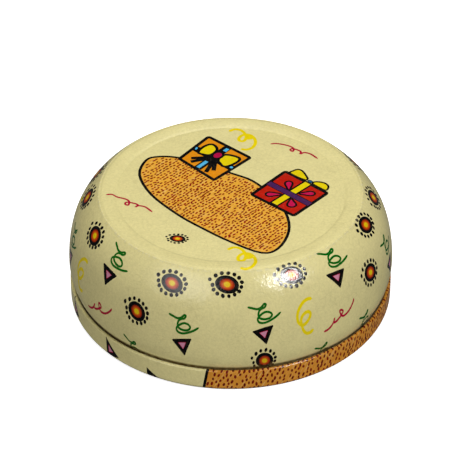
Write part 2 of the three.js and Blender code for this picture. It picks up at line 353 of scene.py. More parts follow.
RED_LOOPS = [[(-45.5, -2.5), (-43.5, -2), (-41, -3.2), (-38.5, -4.2), (-37, -5.8), (-37.3, -8),
              (-38.4, -7.4), (-38, -6.3), (-36, -6.6), (-33.8, -7.8), (-34.6, -9.3),
              (-33.5, -8.4), (-31, -9.2), (-28.5, -12.2)],
             [(15, 31.3), (17, 31.6), (20, 30.8), (22.5, 29.5), (23.5, 28), (23.1, 26.4),
              (22.2, 27.5), (23.3, 28.2), (26, 26.5), (25.9, 24.8), (27, 25.5), (28, 25.6),
              (30, 24.5), (32.2, 21.8)]]
LOAF = [(-27, 22.8), (-20, 22.3), (-10, 18), (0, 12.3), (8, 7.3), (15, -2), (20, -13),
        (20.8, -24), (17, -34), (11, -36.8), (0, -30.3), (-10, -22.3), (-19, -14), (-29, -1.5),
        (-33.7, 11), (-31.5, 20.5)]


def inside(points, outline):
    """Whether each point is inside the outline, by its winding number."""
    start, end = outline, np.roll(outline, -1, 0)
    y = points[:, 1][:, None]
    side = ((end[:, 0] - start[:, 0]) * (y - start[:, 1])
            - (points[:, 0][:, None] - start[:, 0]) * (end[:, 1] - start[:, 1]))
    upward = (start[:, 1] <= y) & (end[:, 1] > y) & (side > 0)
    downward = (start[:, 1] > y) & (end[:, 1] <= y) & (side < 0)
    return (upward.sum(1) - downward.sum(1)) != 0


def scattered(rng, low, high, spacing):
    """Points strewn evenly but irregularly over a rectangle."""
    tries = int(30 * (high[0] - low[0]) * (high[1] - low[1]) / spacing ** 2)
    found = []
    for _ in range(tries):
        x, y = rng.uniform(low[0], high[0]), rng.uniform(low[1], high[1])
        near = spacing * rng.uniform(0.72, 1.0)
        if all(math.hypot(x - i, y - j) >= near for i, j in found):
            found.append((x, y))
    return found


def in_rows(rng, outline, degrees, between, along):
    """Points inside an outline, in uneven rows that run at an angle."""
    level = turn(outline, -degrees)
    low, high = level.min(0), level.max(0)
    found = []
    for row in np.arange(low[1], high[1], between):
        place = low[0] + rng.uniform(0, along)
        while place < high[0]:
            found.append((place, row + rng.gauss(0, 0.16)))
            place += along * rng.uniform(0.72, 1.28)
    found = turn(found, degrees)
    return found[inside(found, outline)]


def paint_loaf(sheet, rng):
    """A speckled amber loaf with a thin black line round it."""
    outline = smooth(LOAF, 4, closed=True)
    out = along_and_left(outline)[1]
    out *= np.sign((out * (outline - outline.mean(0))).sum(1).mean())
    half_line, margin, left_out = 0.54, 1.05, 0.07
    sheet.paint(outline + half_line * out, BLACK)
    sheet.paint(outline - half_line * out, Ink(AMBER, field=1.0))
    for spot in in_rows(rng, outline - margin * out, 46, 1.24, 1.62):
        if rng.random() < left_out:
            continue
        wide, high = rng.uniform(0.5, 0.88), rng.uniform(0.33, 0.42)
        tone = rng.uniform(0.75, 1.35)
        sheet.paint(ellipse(spot, wide, high, rng.gauss(50, 12), 7), DASH * tone)


def bar(start, end, width):
    """A straight band between two points."""
    a, b = np.array(start, float), np.array(end, float)
    along = (b - a) / np.linalg.norm(b - a)
    left = np.array([-along[1], along[0]]) * width / 2
    return np.array([a - left, b - left, b + left, a + left])


def petal(tip, end, width):
    """A drop with its point at tip and its round end at end."""
    a, b = np.array(tip, float), np.array(end, float)
    along, left = b - a, np.array([a[1] - b[1], b[0] - a[0]])
    left = left / np.linalg.norm(left) * width / 2
    shape = [(0, 0), (0.3, 0.42), (0.6, 0.9), (0.8, 1.0), (0.94, 0.66), (1, 0)]
    right_side = [a + t * along + w * left for t, w in shape]
    left_side = [a + t * along - w * left for t, w in shape[1:-1]]
    return smooth([*right_side, *left_side[::-1]], 2, closed=True)


def paint_orange_gift(sheet):
    """A parcel seen from above, tied with a dark ribbon and a bow."""
    sheet.edged([(-8.3, 35.0), (6.2, 22.2), (-6.2, 8.9), (-18.2, 21.6)], ORANGE, BLACK, 1.4)
    for start, end, width, ink in [((-1.0, 29.0), (-12.4, 15.4), 3.3, BLACK),
                                   ((-13.4, 28.4), (0.2, 15.6), 3.3, BLACK),
                                   ((-1.1, 28.1), (-2.4, 26.4), 1.5, SKY),
                                   ((-8.9, 19.9), (-12.2, 15.9), 1.5, SKY)]:
        sheet.paint(bar(start, end, width), ink)
    sheet.paint(ellipse((-12.9, 28.3), 0.85, 0.45, 70, 10), SKY)
    sheet.paint(ellipse((0.2, 16.0), 0.65, 0.65, 0, 12), SKY)
    for tail in [(-14.8, 21.9), (-14.9, 19.6), (-9.2, 12.9), (-6.4, 13.9)]:
        sheet.paint(bar((-5.6, 22.6), tail, 1.7), BLACK)
    left = [(-11.6, 26.1), (-9.6, 29.2), (-7.1, 30.4), (-5.7, 27.6), (-7.8, 24.6), (-10.3, 25.0)]
    right = [(-4.1, 20.9), (-1.9, 23.6), (2.6, 21.8), (1.5, 19.3), (-2.1, 17.0), (-3.5, 18.9)]
    for lobe in (left, right):
        sheet.edged(smooth(lobe, 3, closed=True), YELLOW, BLACK, 1.15)
    sheet.edged(ellipse((-4.9, 23.8), 1.85, 1.4, 50, 16), MAGENTA * 0.8, BLACK, 1.0)


def paint_red_gift(sheet):
    """A parcel seen from above, tied both ways, with four drops round the crossing."""
    for lobe in [[(22.4, 12.2), (23.2, 13.4), (24.8, 14.3), (26.0, 13.6), (27.1, 11.4), (27.7, 8.3)],
                 [(30.4, 5.8), (31.9, 6.4), (34.2, 5.7), (35.4, 4.0), (34.8, 1.9), (33.0, 3.2)]]:
        sheet.edged(smooth(lobe, 3, closed=True), YELLOW, BLACK, 0.8)
    sheet.edged(ellipse((29.2, 7.0), 0.85, 0.5, -45, 12), NAVY, BLACK, 0.35)
    sheet.edged([(8.6, -1.2), (20.2, 12.4), (34.3, -0.4), (22.7, -13.4)], RED, BLACK, 1.4)
    for start, end, width, ink in [((28.6, 6.2), (15.4, -7.5), 4.0, BLACK),
                                   ((28.3, 5.9), (15.9, -7.0), 2.5, YELLOW),
                                   ((14.1, 6.0), (28.6, -7.2), 3.1, BLACK),
                                   ((13.9, 6.1), (28.8, -7.4), 2.4, PURPLE)]:
        sheet.paint(bar(start, end, width), ink)
    for tip, end, width in [((21.3, 2.0), (21.3, 6.8), 2.0), ((18.1, -1.1), (13.1, -1.1), 1.9),
                            ((25.4, -0.7), (30.4, -0.6), 1.9), ((22.0, -4.3), (22.2, -8.7), 2.5)]:
        sheet.edged(petal(tip, end, width), MAGENTA, BLACK, 0.8)


SMALL_SUN = np.array([-19.0, -28.4])
# Where the small motifs are on the cover: azimuth, distance along the outline and tilt.
SUNS = [(24.75, 52.6), (-22.9, 55.2), (-1.4, 53.1), (-67.1, 55.4), (-92.5, 54.7), (71.4, 52.8),
        (92.1, 54.2), (-109, 54.4), (-34.5, 69.5), (59.9, 66.6), (11.75, 84.2), (110, 70),
        (-110, 70), (117, 53.2), (-134, 55.5), (154, 53), (-156, 53), (176, 55), (144, 68),
        (-138, 69), (-172, 69), (128, 84), (-120, 85), (168, 84.5)]
TRIANGLES = [(11.5, 72), (-16.5, 77.6), (-50.5, 62.3, -15), (43, 59.5, -15), (77.5, 75),
             (-80.5, 74.5), (-92, 82), (91, 84), (126, 61, -12), (-122, 62, 10), (160, 66),
             (-152, 78), (134, 76, 8), (-166, 59, -14)]
GREEN_CURLS = [(11.5, 65), (-16.9, 70), (-49.5, 55.7, -14), (44.5, 53.4, -14), (77, 67),
               (-81.5, 67), (-36.4, 88.4, -14), (55, 85.6), (34.5, 89), (-103, 81), (102, 80),
               (136, 54, -10), (-122, 55, 8), (160, 59.5), (-152, 71)]
YELLOW_CURLS = [(26, 70), (-67.3, 72.5), (124, 68), (-124, 77), (174, 75), (-98, 66)]
CRIMSON_CURLS = [(40.7, 74.3), (-52.8, 77.6), (100, 63), (150, 80), (-150, 62), (-172, 82)]


def cover_artwork():
    """A loaf and two parcels on the panel, and small motifs over the shoulder and the side."""
    rng = random.Random(11)
    sheet = Sheet()
    paint_loaf(sheet, rng)
    paint_orange_gift(sheet)
    paint_red_gift(sheet)
    for shift in ((0, 0), (-0.4, -74.6)):
        sheet.paint(stroke(smooth(GOLD_LOOPS) + np.array(shift), 1.3, 0.9), YELLOW)
        sheet.paint(ellipse(np.array((6.9, 35.6)) + shift, 1.7, 1.5, 30, 14), YELLOW)
    for loop in RED_LOOPS:
        sheet.paint(stroke(smooth(loop), 0.8), CRIMSON)
    small = Spot(0, 0)
    small.origin = SMALL_SUN
    paint_sun(sheet, small, rng, 0.66)
    for places, curl, width, ink in [(GREEN_CURLS, GREEN_CURL, 0.8, GREEN),
                                     (YELLOW_CURLS, YELLOW_CURL, 1.2, YELLOW),
                                     (CRIMSON_CURLS, CRIMSON_CURL, 0.78, CRIMSON)]:
        for place in places:
            sheet.paint(Spot(*place).on(stroke(smooth(curl), width)), ink)
    for place in TRIANGLES:
        paint_triangle(sheet, Spot(*place))
    for place in SUNS:
        paint_sun(sheet, Spot(*place), rng)
    return sheet.shapes


AMBER_FROM, AMBER_TO, LINE_LEAN = -9.3, 150.0, 1.5  # degrees round the band
BAND_LOW, BAND_TOP = 0.6, 10.4
BAND_TRIANGLES = [(-46.5, 5.2, 4.2), (-27.8, 1.0, 8.6), (-72, 6.2, 3.6), (-94, 3.0, 4.4),
                  (-121, 6.4, 3.8), (-147, 3.4, 4.6), (-171, 6.0, 3.8), (166, 3.2, 4.4)]


def pan_artwork():
    """An amber stretch with dark dashes, between two black lines, and triangles on the rest."""
    rng = random.Random(5)
    sheet = Sheet()
    wall = pan_profile.length[np.argmax(pan_profile.points[:, 0] > PAN_WALL - 0.02)] - PAN_CORNER
    top = pan_profile.length[-1]
    degree = math.radians(1) * PAN_WALL

    def at(azimuth, height):
        """Where a point of the wall lies in the blank."""
        reach = pan_profile.blank_of(min(wall + height, top - 0.3))
        a = math.radians(azimuth)
        return reach * np.array([math.sin(a), -math.cos(a)])

    def strip(start, end):
        """A stretch of the band, with ends that lean."""
        round_low = np.linspace(start, end, max(2, round((end - start) / 3)))
        up = [(t, BAND_LOW + (BAND_TOP - BAND_LOW) * t) for t in (0.33, 0.66)]
        low = [at(a, BAND_LOW) for a in round_low]
        rise = [at(end + LINE_LEAN * t, height) for t, height in up]
        high = [at(a + LINE_LEAN, BAND_TOP) for a in round_low[::-1]]
        fall = [at(start + LINE_LEAN * t, height) for t, height in up[::-1]]
        return [*low, *rise, *high, *fall]

    sheet.paint(strip(AMBER_FROM, AMBER_TO), Ink(BAND_AMBER, field=1.0))
    low = (AMBER_FROM * degree + 1.3, 0.9)
    high = (AMBER_TO * degree - 0.6, 10.2)
    for x, z in scattered(rng, low, high, 1.9):
        lean, half, wide = rng.uniform(-0.03, 0.32), rng.uniform(0.58, 1.02), rng.uniform(0.36, 0.5)
        if x + lean * z < low[0] + z * LINE_LEAN * degree / 10:
            continue
        around = ellipse((x, z), wide, half, 0, 8)
        around[:, 0] += (around[:, 1] - z) * lean
        sheet.paint([at(u / degree, v) for u, v in around], DASH * rng.uniform(0.5, 0.95))
    for azimuth in (AMBER_FROM, AMBER_TO):
        sheet.paint(strip(azimuth - 0.5, azimuth + 0.5), BLACK)
    for azimuth, height, reach in BAND_TRIANGLES:
        tall = np.array([(-2.6, 3.9), (reach, -2.4), (-2.2, -4.5)])
        window = tall.mean(0) + (-0.25, -0.1) + 0.38 * (tall - tall.mean(0))
        for outline, ink in ((tall, BLACK), (window, CRIMSON), (window * 0.86, PINK)):
            sheet.paint([at(azimuth + u / degree, height + v) for u, v in outline], ink)
    return sheet.shapes


# ---------------------------------------------------------------- meshes


def spoke_ring(count, reach=1.0):
    """Points round a circle, the first of them at the front."""
    angles = 2 * math.pi * np.arange(count) / count
    return reach * np.stack([np.sin(angles), -np.cos(angles)], 1)


def placed(name, data):
    """A new object in the scene."""
    thing = bpy.data.objects.new(name, data)
    bpy.context.scene.collection.objects.link(thing)
    return thing


def mesh_object(name, points, faces, normals=None):
    """A smooth-shaded object from points in millimetres."""
    mesh = bpy.data.meshes.new(name)
    mesh.from_pydata(np.asarray(points, float) * MM, [], faces)
    mesh.update()
    mesh.shade_smooth()
    if normals is not None:
        mesh.normals_split_custom_set_from_vertices(normals)
    return placed(name, mesh)


def loop_edges(first, count):
    """The edges of a closed loop of points."""
    return [(first + k, first + (k + 1) % count) for k in range(count)]


def faces_between(low, high, closed=True):
    """Faces from one row of point numbers to the next, with three corners where a number repeats."""
    count = len(low)
    faces = []
    for k in range(count if closed else count - 1):
        n = (k + 1) % count
        faces.append(list(dict.fromkeys([low[k], low[n], high[n], high[k]])))
    return faces


def row_faces(rows, closed=True):
    """The faces between all neighbouring rows."""
    faces = []
    for low, high in zip(rows, rows[1:]):
        faces.extend(faces_between(low, high, closed))
    return faces


def flipped(faces):
    """The faces turned to look the other way."""
    return [face[::-1] for face in faces]


def spun(path, spokes, first=0):
    """Points round the axis for each radius and height, and their numbers row by row.

    A radius of zero makes one point, whose number fills its row.
    """
    around = spoke_ring(spokes)
    points, rows = [], []
    for r, z in path:
        start = first + len(points)
        if r < 1e-6:
            rows.append([start] * spokes)
            points.append((0, 0, z))
        else:
            rows.append(list(range(start, start + spokes)))
            points.extend((r * x, r * y, z) for x, y in around)
    return points, rows


def printed_blank(name, profile, rings, shapes, lining, outward):
    """A drawn tinplate piece: its printed face, and a plain lining that goes on from the edge.

    Every outline of the artwork is an edge of the mesh, so the print is as sharp as the mesh is.
    """
    flat, edges = [np.zeros(2)], []
    loops = [spoke_ring(SPOKES, reach) for reach in profile.blank_of(np.array(rings))]
    for loop in [*loops, *(outline for outline, _ in shapes)]:
        edges.extend(loop_edges(len(flat), len(loop)))
        flat.extend(loop)
    made = delaunay_2d_cdt([Vector(p) for p in flat], edges, [], 0, 1e-4)
    points, faces, origins = np.array([tuple(p) for p in made[0]]), made[2], made[3]
    found = {source: k for k, sources in enumerate(origins) for source in sources}
    rim = [found[1 + (len(rings) - 1) * SPOKES + k] for k in range(SPOKES)]
    faces = np.array([f if outward > 0 else f[::-1] for f in faces])
    middles = points[faces].mean(1)
    colours = np.empty((len(faces), 3, 4))
    colours[..., :3], colours[..., 3] = GROUND, 0
    for outline, ink in shapes:
        low, high = outline.min(0), outline.max(0)
        near = np.flatnonzero(((middles > low) & (middles < high)).all(1))
        near = near[inside(middles[near], outline)]
        colours[near, :, :3] = ink.at(points[faces[near]])
        colours[near, :, 3] = ink.field
    place, normal = profile.drawn(points)
    lining_points, rows = spun(lining, SPOKES, len(points))
    across = outward * along_and_left([profile.points[-1], *lining])[1][1:]
    around = spoke_ring(SPOKES)
    lining_normals = [(out * x, out * y, up) for out, up in across for x, y in around]
    place = np.concatenate([place, lining_points])
    normal = np.concatenate([normal, lining_normals])[:len(place)]
    quads = row_faces([rim, *rows])
    quads = quads if outward < 0 else flipped(quads)
    piece = mesh_object(name, place, [*faces.tolist(), *quads], normal)
    corner_colours = np.ones((len(piece.data.loops), 4), np.float32)
    corner_colours[:3 * len(faces)] = colours.reshape(-1, 4)
    ink = piece.data.color_attributes.new("ink", "FLOAT_COLOR", "CORNER")
    ink.data.foreach_set("color", corner_colours.ravel())
    sides = np.zeros(len(piece.data.polygons), np.int32)
    sides[len(faces):] = 1
    piece.data.polygons.foreach_set("material_index", sides)
    return piece


def turned(name, path, steps=SPOKES):
    """A turned piece from its outline, which starts and ends on the axis."""
    points, rows = spun(path, steps)
    return mesh_object(name, points, row_faces(rows))


# ---------------------------------------------------------------- materials


class Shader:
    """A node material being put together."""

    def __init__(self, name):
        self.material = bpy.data.materials.new(name)
        self.material.use_nodes = True
        self.nodes = self.material.node_tree.nodes
        self.surface = self.nodes["Principled BSDF"]
        self.place = self.add("ShaderNodeTexCoord").outputs["Object"]

    def feed(self, socket, value):
        if isinstance(value, bpy.types.NodeSocket):
            self.material.node_tree.links.new(value, socket)
        else:
            socket.default_value = value

    def finish(self, colour, roughness, normal, **more):
        """Sets the surface and gives the finished material."""
        for socket, value in dict(Base_Color=colour, Roughness=roughness, Normal=normal, **more).items():
            self.feed(self.surface.inputs[socket.replace("_", " ")], value)
        return self.material

    def add(self, kind, inputs=(), **settings):
        node = self.nodes.new(kind)
        for key, value in settings.items():
            setattr(node, key, value)
        for key, value in dict(inputs).items():
            self.feed(node.inputs[key], value)
        return node

    def math(self, operation, a, b=0.0):
        return self.add("ShaderNodeMath", {0: a, 1: b}, operation=operation).outputs[0]

    def times(self, *values):
        return functools.reduce(lambda a, b: self.math("MULTIPLY", a, b), values)

    def plus(self, a, b):
        return self.math("ADD", a, b)

    def minus(self, a, b):
        return self.math("SUBTRACT", a, b)

    def scaled(self, x, y, z):
        """The object's own coordinates, in millimetres, stretched along its axes."""
        inputs = {0: self.place, 1: (1000 * x, 1000 * y, 1000 * z)}
        return self.add("ShaderNodeVectorMath", inputs, operation="MULTIPLY").outputs[0]

    def noise(self, size, detail=2.0, roughness=0.5, vector=None, distortion=0.0):
        """Noise whose grain is about this many millimetres."""
        inputs = {"Vector": vector or self.scaled(1, 1, 1), "Scale": 1 / size, "Detail": detail,
                  "Roughness": roughness, "Distortion": distortion}
        return self.add("ShaderNodeTexNoise", inputs).outputs[0]

    def span(self, value, low, high, to_low=0.0, to_high=1.0):
        inputs = {0: value, 1: low, 2: high, 3: to_low, 4: to_high}
        return self.add("ShaderNodeMapRange", inputs, interpolation_type="SMOOTHSTEP").outputs[0]

    def mix(self, share, a, b):
        return self.add("ShaderNodeMix", {0: share, 6: a, 7: b}, data_type="RGBA").outputs[2]

    def bump(self, height, depth, normal=None):
        """A bump that stands depth millimetres high."""
        inputs = {"Strength": 1.0, "Distance": depth * MM, "Height": height}
        if normal is not None:
            inputs["Normal"] = normal
        return self.add("ShaderNodeBump", inputs).outputs[0]


def printed_tin(name, worn_radius, worn_height, on_wall, seam):
    """Glossy varnished print on tinplate, a little mottled, with wear along one pressed edge.

    The amber fields have slanting streaks, drawn either on the flat or round the wall. Given a seam
    height, a dark band of painted shade is laid round it, for the shadow where the cover sits on the
    pan.
    """
    s = Shader(name)
    ink = s.add("ShaderNodeAttribute", attribute_name="ink").outputs
    x, y, height = s.add("ShaderNodeSeparateXYZ", {0: s.scaled(1, 1, 1)}).outputs
    # Uneven ink: broad clouds, then a fine paper-like grain and a web of hair cracks in patches.
    clouds = s.span(s.noise(9.0, 3.0), 0.3, 0.7, 0.975, 1.02)
    grain = s.span(s.noise(0.95, 3.0, 0.7), 0.25, 0.75, 0.93, 1.06)
    colour = s.add("ShaderNodeVectorMath", {0: ink["Color"], "Scale": s.times(clouds, grain)},
                   operation="SCALE").outputs[0]
    cells = s.add("ShaderNodeTexVoronoi", {"Vector": s.scaled(1, 1, 1), "Scale": 0.42},
                  feature="DISTANCE_TO_EDGE").outputs[0]
    web = s.times(s.span(cells, 0.0, 0.06, 1.0, 0.0), s.span(s.noise(12.0, 2.0), 0.42, 0.62))
    colour = s.mix(s.times(web, 0.11), colour, rgba(120, 104, 58))
    # Pale slanting streaks and deeper patches in the amber fields.
    across = s.times(s.math("ARCTAN2", y, x), PAN_WALL) if on_wall else x
    flat = s.add("ShaderNodeCombineXYZ", {0: across, 1: height if on_wall else y}).outputs[0]
    slant = (0, 0, math.radians(57 if on_wall else 48))
    stretched = s.add("ShaderNodeMapping", {0: flat, "Rotation": slant, "Scale": (1 / 0.11, 1, 1)},
                      vector_type="TEXTURE").outputs[0]
    streaks = s.span(s.noise(0.75, 3.0, 0.6, stretched), 0.5, 0.7)
    colour = s.mix(s.times(ink["Alpha"], streaks, 0.45), colour, rgba(240, 204, 132))
    deep = s.span(s.noise(2.6, 2.0), 0.5, 0.75)
    colour = s.mix(s.times(ink["Alpha"], deep, 0.35), colour, rgba(196, 124, 24))
    # Wear where the edge rubs.
    radius = s.math("SQRT", s.plus(s.times(x, x), s.times(y, y)))
    beside_edge = s.math("ABSOLUTE", s.minus(radius, worn_radius))
    past_edge = s.math("ABSOLUTE", s.minus(height, worn_height))
    band = s.minus(1.0, s.span(s.math("MAXIMUM", beside_edge, past_edge), 0.15, 0.75))
    worn = s.times(band, s.span(s.noise(1.1, 4.0, 0.65), 0.42, 0.6))
    colour = s.mix(s.times(worn, 0.3), colour, rgba(164, 156, 132))
    if seam:  # painted shade where the cover sits on the pan: a dark brown band standing for the shadow in the gap
        seam_shade = s.minus(s.span(height, seam - 1.4, seam - 0.8), s.span(height, seam, seam + 1.3))
        seam_shade = s.times(seam_shade, s.span(s.noise(2.0, 3.0), 0.2, 0.6, 0.7, 0.95))
        colour = s.mix(seam_shade, colour, rgba(78, 54, 14))
    # Fine scratches and orange peel in the varnish.
    scratches = s.span(s.noise(0.5, 2.0, 0.5, s.scaled(0.06, 1.6, 0.4)), 0.66, 0.74)
    rough = s.plus(s.span(s.noise(3.0, 4.0, 0.6), 0.3, 0.7, 0.12, 0.2), s.times(worn, 0.25))
    rough = s.plus(rough, s.times(scratches, 0.06))
    orange_peel = s.bump(s.noise(0.6, 2.0), 0.07, s.bump(s.noise(1.9, 2.0, 0.6), 0.12))
    cut = s.bump(s.minus(1.0, s.math("MAXIMUM", scratches, web)), 0.004, orange_peel)
    return s.finish(colour, rough, cut, Specular_IOR_Level=0.8, Sheen_Weight=0.25, Sheen_Roughness=0.25)


def lacquered_tin(name):
    """Bare tinplate under a thin gold lacquer, with its rolling lines."""
    s = Shader(name)
    lines = s.noise(0.4, 3.0, 0.6, s.scaled(0.05, 1.4, 0.3))
    clouds = s.noise(9.0, 4.0, 0.6)
    colour = s.mix(s.span(clouds, 0.35, 0.7), rgba(214, 190, 132), rgba(188, 158, 96))
    colour = s.mix(s.span(s.noise(1.4, 5.0, 0.7), 0.62, 0.78), colour, rgba(150, 118, 66))
    rough = s.plus(s.span(lines, 0.3, 0.7, 0.2, 0.34), s.span(clouds, 0.3, 0.7, 0, 0.08))
    return s.finish(colour, rough, s.bump(lines, 0.003), Metallic=0.9)


# ---------------------------------------------------------------- pieces


def give(piece, body, slot, nodes, *materials):
    """Puts materials on a piece, hangs it on its body and hides the imported parts that it takes the
    place of.
    """
    for material in materials:
        piece.data.materials.append(material)
    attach(piece, body)
    if nodes:
        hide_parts(*nodes)
    return piece


def make_cover():
    profile = cover_profile
    crease = [*np.arange(47.1, 49.2, 0.14), *np.arange(49.3, 51.2, 0.5)]
    bead = [41.7, 41.85, 42.0, 42.15, 42.5, 43.2, 44, *np.arange(44.7, 46.4, 0.2), 46.7]
    end = profile.length[-1]
    rings = [4, 9, 14, 19, 24, 28, 32, 36, 39.5, *bead, *crease, *np.arange(51.8, 87, 1.6),
             *np.arange(87.2, 90, 0.5), 92, 94.5, end]
    inner = beside(resampled(cover_outline(), 1.0, 0.3), -TINPLATE)[::-1]
    inner = inner[inner[:, 1] > 3.4]  # clear of the folded lip
    inner[-1] = (0, inner[-1][1])
    neck, fold = NECK_TOP[0], NECK_BOTTOM + FOLD
    lining = [*arc((neck - FOLD, fold), FOLD, 0, -180, 8)[1:], (neck - 2 * FOLD, 2.6),
              *arc((neck - 1.5 * FOLD, 2.7), FOLD / 2, 180, 0, 4), *inner]
    piece = printed_blank("cover_print", profile, rings, cover_artwork(), lining, 1)
    return give(piece, "cover", "cover_print", ["cover_shell"],
                printed_tin("cover_varnish", *CREASE, on_wall=False, seam=9.55),
                lacquered_tin("cover_lining"))


def make_pan():
    profile = pan_profile
    end = profile.length[-1]
    rings = [6, 12, 18, 24, 30, 36, 42, 46, *np.arange(46.8, 50, 0.4), 52, 54.5, 56.5,
             *np.arange(57.2, 61.6, 0.4), *np.arange(62.2, 67, 1.0), *np.arange(67.4, end, 0.3), end]
    inner = beside(resampled(pan_outline()[:-24], 1.0, 0.3), TINPLATE)[::-1]
    inner[-1] = (0, inner[-1][1])
    lining = [(PAN_WALL - TINPLATE, CURL_HEIGHT - 0.9), *inner]
    piece = printed_blank("pan_print", profile, rings, pan_artwork(), lining, -1)
    return give(piece, "base", "pan_print", ["base_pan"],
                printed_tin("pan_varnish", PAN_WALL, 1.2, on_wall=True, seam=None),
                lacquered_tin("pan_lining"))


# ---------------------------------------------------------------- flat plates with holes


def moved_out(loop, distance):
    """A counter-clockwise loop moved outwards at each of its points."""
    along = np.roll(loop, -1, 0) - np.roll(loop, 1, 0)
    along /= np.linalg.norm(along, axis=1)[:, None]
    return loop + distance * np.stack([along[:, 1], -along[:, 0]], 1)


def bevelled(low, high, edge, outward):
    """Rows of (distance outwards, height) up a wall with a small bevel at both ends."""
    back = -edge * outward
    return [(back, low), (0.3 * back, low + 0.3 * edge), (0, low + edge), (0, high - edge),
            (0.3 * back, high - 0.3 * edge), (back, high)]


def plate(rim, rim_rows, holes=(), hole_rows=()):
    """Points and faces of a flat plate whose rim and holes have walls of the given rows."""
    points, faces, low_flat, low_ids, high_ids, edges = [], [], [], [], [], []
    for loop in (rim, *holes):
        wall = rim_rows if loop is rim else hole_rows
        count = len(loop)
        rows = []
        for distance, height in wall:
            rows.append(list(range(len(points), len(points) + count)))
            points.extend((x, y, height) for x, y in moved_out(loop, distance))
        sides = row_faces(rows)
        faces.extend(sides if loop is rim else flipped(sides))
        edges.extend(loop_edges(len(low_flat), count))
        low_flat.extend(moved_out(loop, wall[0][0]))
        low_ids.extend(rows[0])
        high_ids.extend(rows[-1])
    made = delaunay_2d_cdt([Vector(p) for p in low_flat], edges, [], 0, 1e-5)
    source = [found[0] for found in made[3]]
    flat = np.array([tuple(p) for p in made[0]])
    triangles = np.array(made[2])
    middles = flat[triangles].mean(1)
    kept = inside(middles, np.array(low_flat[:len(rim)]))
    for hole in holes:
        kept &= ~inside(middles, hole)
    for face in triangles[kept]:
        faces.append([low_ids[source[i]] for i in face][::-1])
        faces.append([high_ids[source[i]] for i in face])
    return points, faces


def joined(*parts):
    """The points and faces of several shapes as one."""
    points, faces = [], []
    for more_points, more_faces in parts:
        first = len(points)
        points.extend(more_points)
        faces.extend([i + first for i in face] for face in more_faces)
    return points, faces


def hard_edged(piece, degrees):
    """Gives a piece hard edges where its faces turn by more than the angle."""
    piece.data.set_sharp_from_angle(angle=math.radians(degrees))
    return piece


def circle(radius, centre=(0, 0), count=24):
    return ellipse(centre, radius, radius, 0, count)


def capsule(near, far, half, degrees):
    """A slot with round ends, along the radius at an angle."""
    ends = [np.array(arc((far, 0), half, -90, 90, 8)), np.array(arc((near, 0), half, 90, 270, 8))]
    return turn(np.concatenate(ends), degrees)


def rounded_box(length, width, centre, corner=0.6):
    """A counter-clockwise rectangle with round corners."""
    x, y = length / 2 - corner, width / 2 - corner
    parts = [arc((x * i, y * j), corner, start, start + 90, 4)
             for i, j, start in ((1, -1, -90), (1, 1, 0), (-1, 1, 90), (-1, -1, 180))]
    return np.concatenate(parts) + np.array(centre)


# ---------------------------------------------------------------- inside the tin

LINER_BASE = 1.2
TUB_BASE, TUB_TOP = 2.1, 24.6
SIFTER_BASE, SIFTER_TOP, RIM_TOP = 21.5, 22.7, 24.7
SHUTTER_BASE, SHUTTER_TOP = 22.8, 23.6
PILE_BASE, PILE_TOP = 24.8, 32.8
BACK_BASE, BACK_RADIUS, BACK_EDGE, BACK_CROWN = 32.9, 43.0, 2.0, 4.4


def make_liner():
    """A disc of grey card under the tub."""
    low, high = LINER_BASE, LINER_BASE + 0.8
    path = [(0, low), (46.2, low), (46.5, low + 0.2), (46.5, high - 0.2), (46.2, high), (0, high)]
    piece = hard_edged(turned("card_disc", path), 30)
    s = Shader("grey_card")
    fibres = s.noise(0.6, 4.0, 0.7, s.scaled(0.25, 1.0, 1.0))
    flecks = s.span(s.noise(1.0, 2.0), 0.62, 0.7)
    colour = s.mix(s.span(fibres, 0.3, 0.7), rgba(172, 150, 122), rgba(196, 176, 148))
    colour = s.mix(s.times(flecks, 0.5), colour, rgba(132, 110, 84))
    card = s.finish(colour, s.span(fibres, 0.3, 0.7, 0.85, 0.95), s.bump(fibres, 0.03))
    return give(piece, "base", "grey_card", ["card_liner"], card)


def moulded_plastic(name, colour, shade, rough):
    """Injection-moulded plastic: faint flow marks, a fine grain and a few scuffs."""
    s = Shader(name)
    flow = s.noise(6.0, 3.0, 0.5, s.scaled(1, 0.4, 1), 1.5)
    scuffs = s.span(s.noise(0.5, 2.0, 0.5, s.scaled(0.07, 1.2, 0.4)), 0.67, 0.74)
    dust = s.span(s.noise(0.9, 4.0, 0.7), 0.55, 0.8)
    tone = s.mix(s.span(flow, 0.1, 0.9), rgba(*colour), rgba(*shade))
    tone = s.mix(s.times(dust, 0.08), tone, rgba(246, 243, 236))
    gloss = s.plus(s.span(flow, 0.3, 0.7, rough, rough + 0.08), s.times(scuffs, 0.15))
    grain = s.bump(s.noise(0.12, 2.0), 0.004, s.bump(scuffs, -0.004))
    return s.finish(tone, gloss, grain, Subsurface_Weight=0.12,
                    Subsurface_Radius=(0.004, 0.003, 0.002), Subsurface_Scale=0.5)


def make_tub(plastic):
    """The plastic tub: thin wall, a seat for the sifter and a turned-out flange."""
    radius, wall, seat_radius, flange = 53.6, 1.2, 54.0, 56.6
    inner, collar, seat = radius - wall, seat_radius + wall, TUB_TOP - 3.2
    corner = (radius - 2, TUB_BASE + 2)
    path = [(0, TUB_BASE), *arc(corner, 2, -90, 0, 8), (radius, seat - 2 * wall),
            (collar, seat - wall / 2), (collar, TUB_TOP - 1.4), (flange, TUB_TOP - 1.4),
            (flange, TUB_TOP), (seat_radius, TUB_TOP), (seat_radius, seat), (inner, seat),
            *arc(corner, 0.8, 0, -90, 6), (0, TUB_BASE + wall)]
    path = resampled(path, 0.3, 0.25)
    # Points stay where the outline bends, and now and then where it is straight.
    bends = np.linalg.norm(np.diff(path, 2, axis=0), axis=1) > 1e-3
    keep = np.concatenate([[True], bends, [True]])
    keep |= np.roll(keep, 1) | np.roll(keep, -1)
    keep[::12] = True
    path = path[keep]
    path[0, 0] = path[-1, 0] = 0
    piece = turned("talc_tub", path)
    return give(piece, "base", "tub_plastic", ["powder_tub"], plastic)


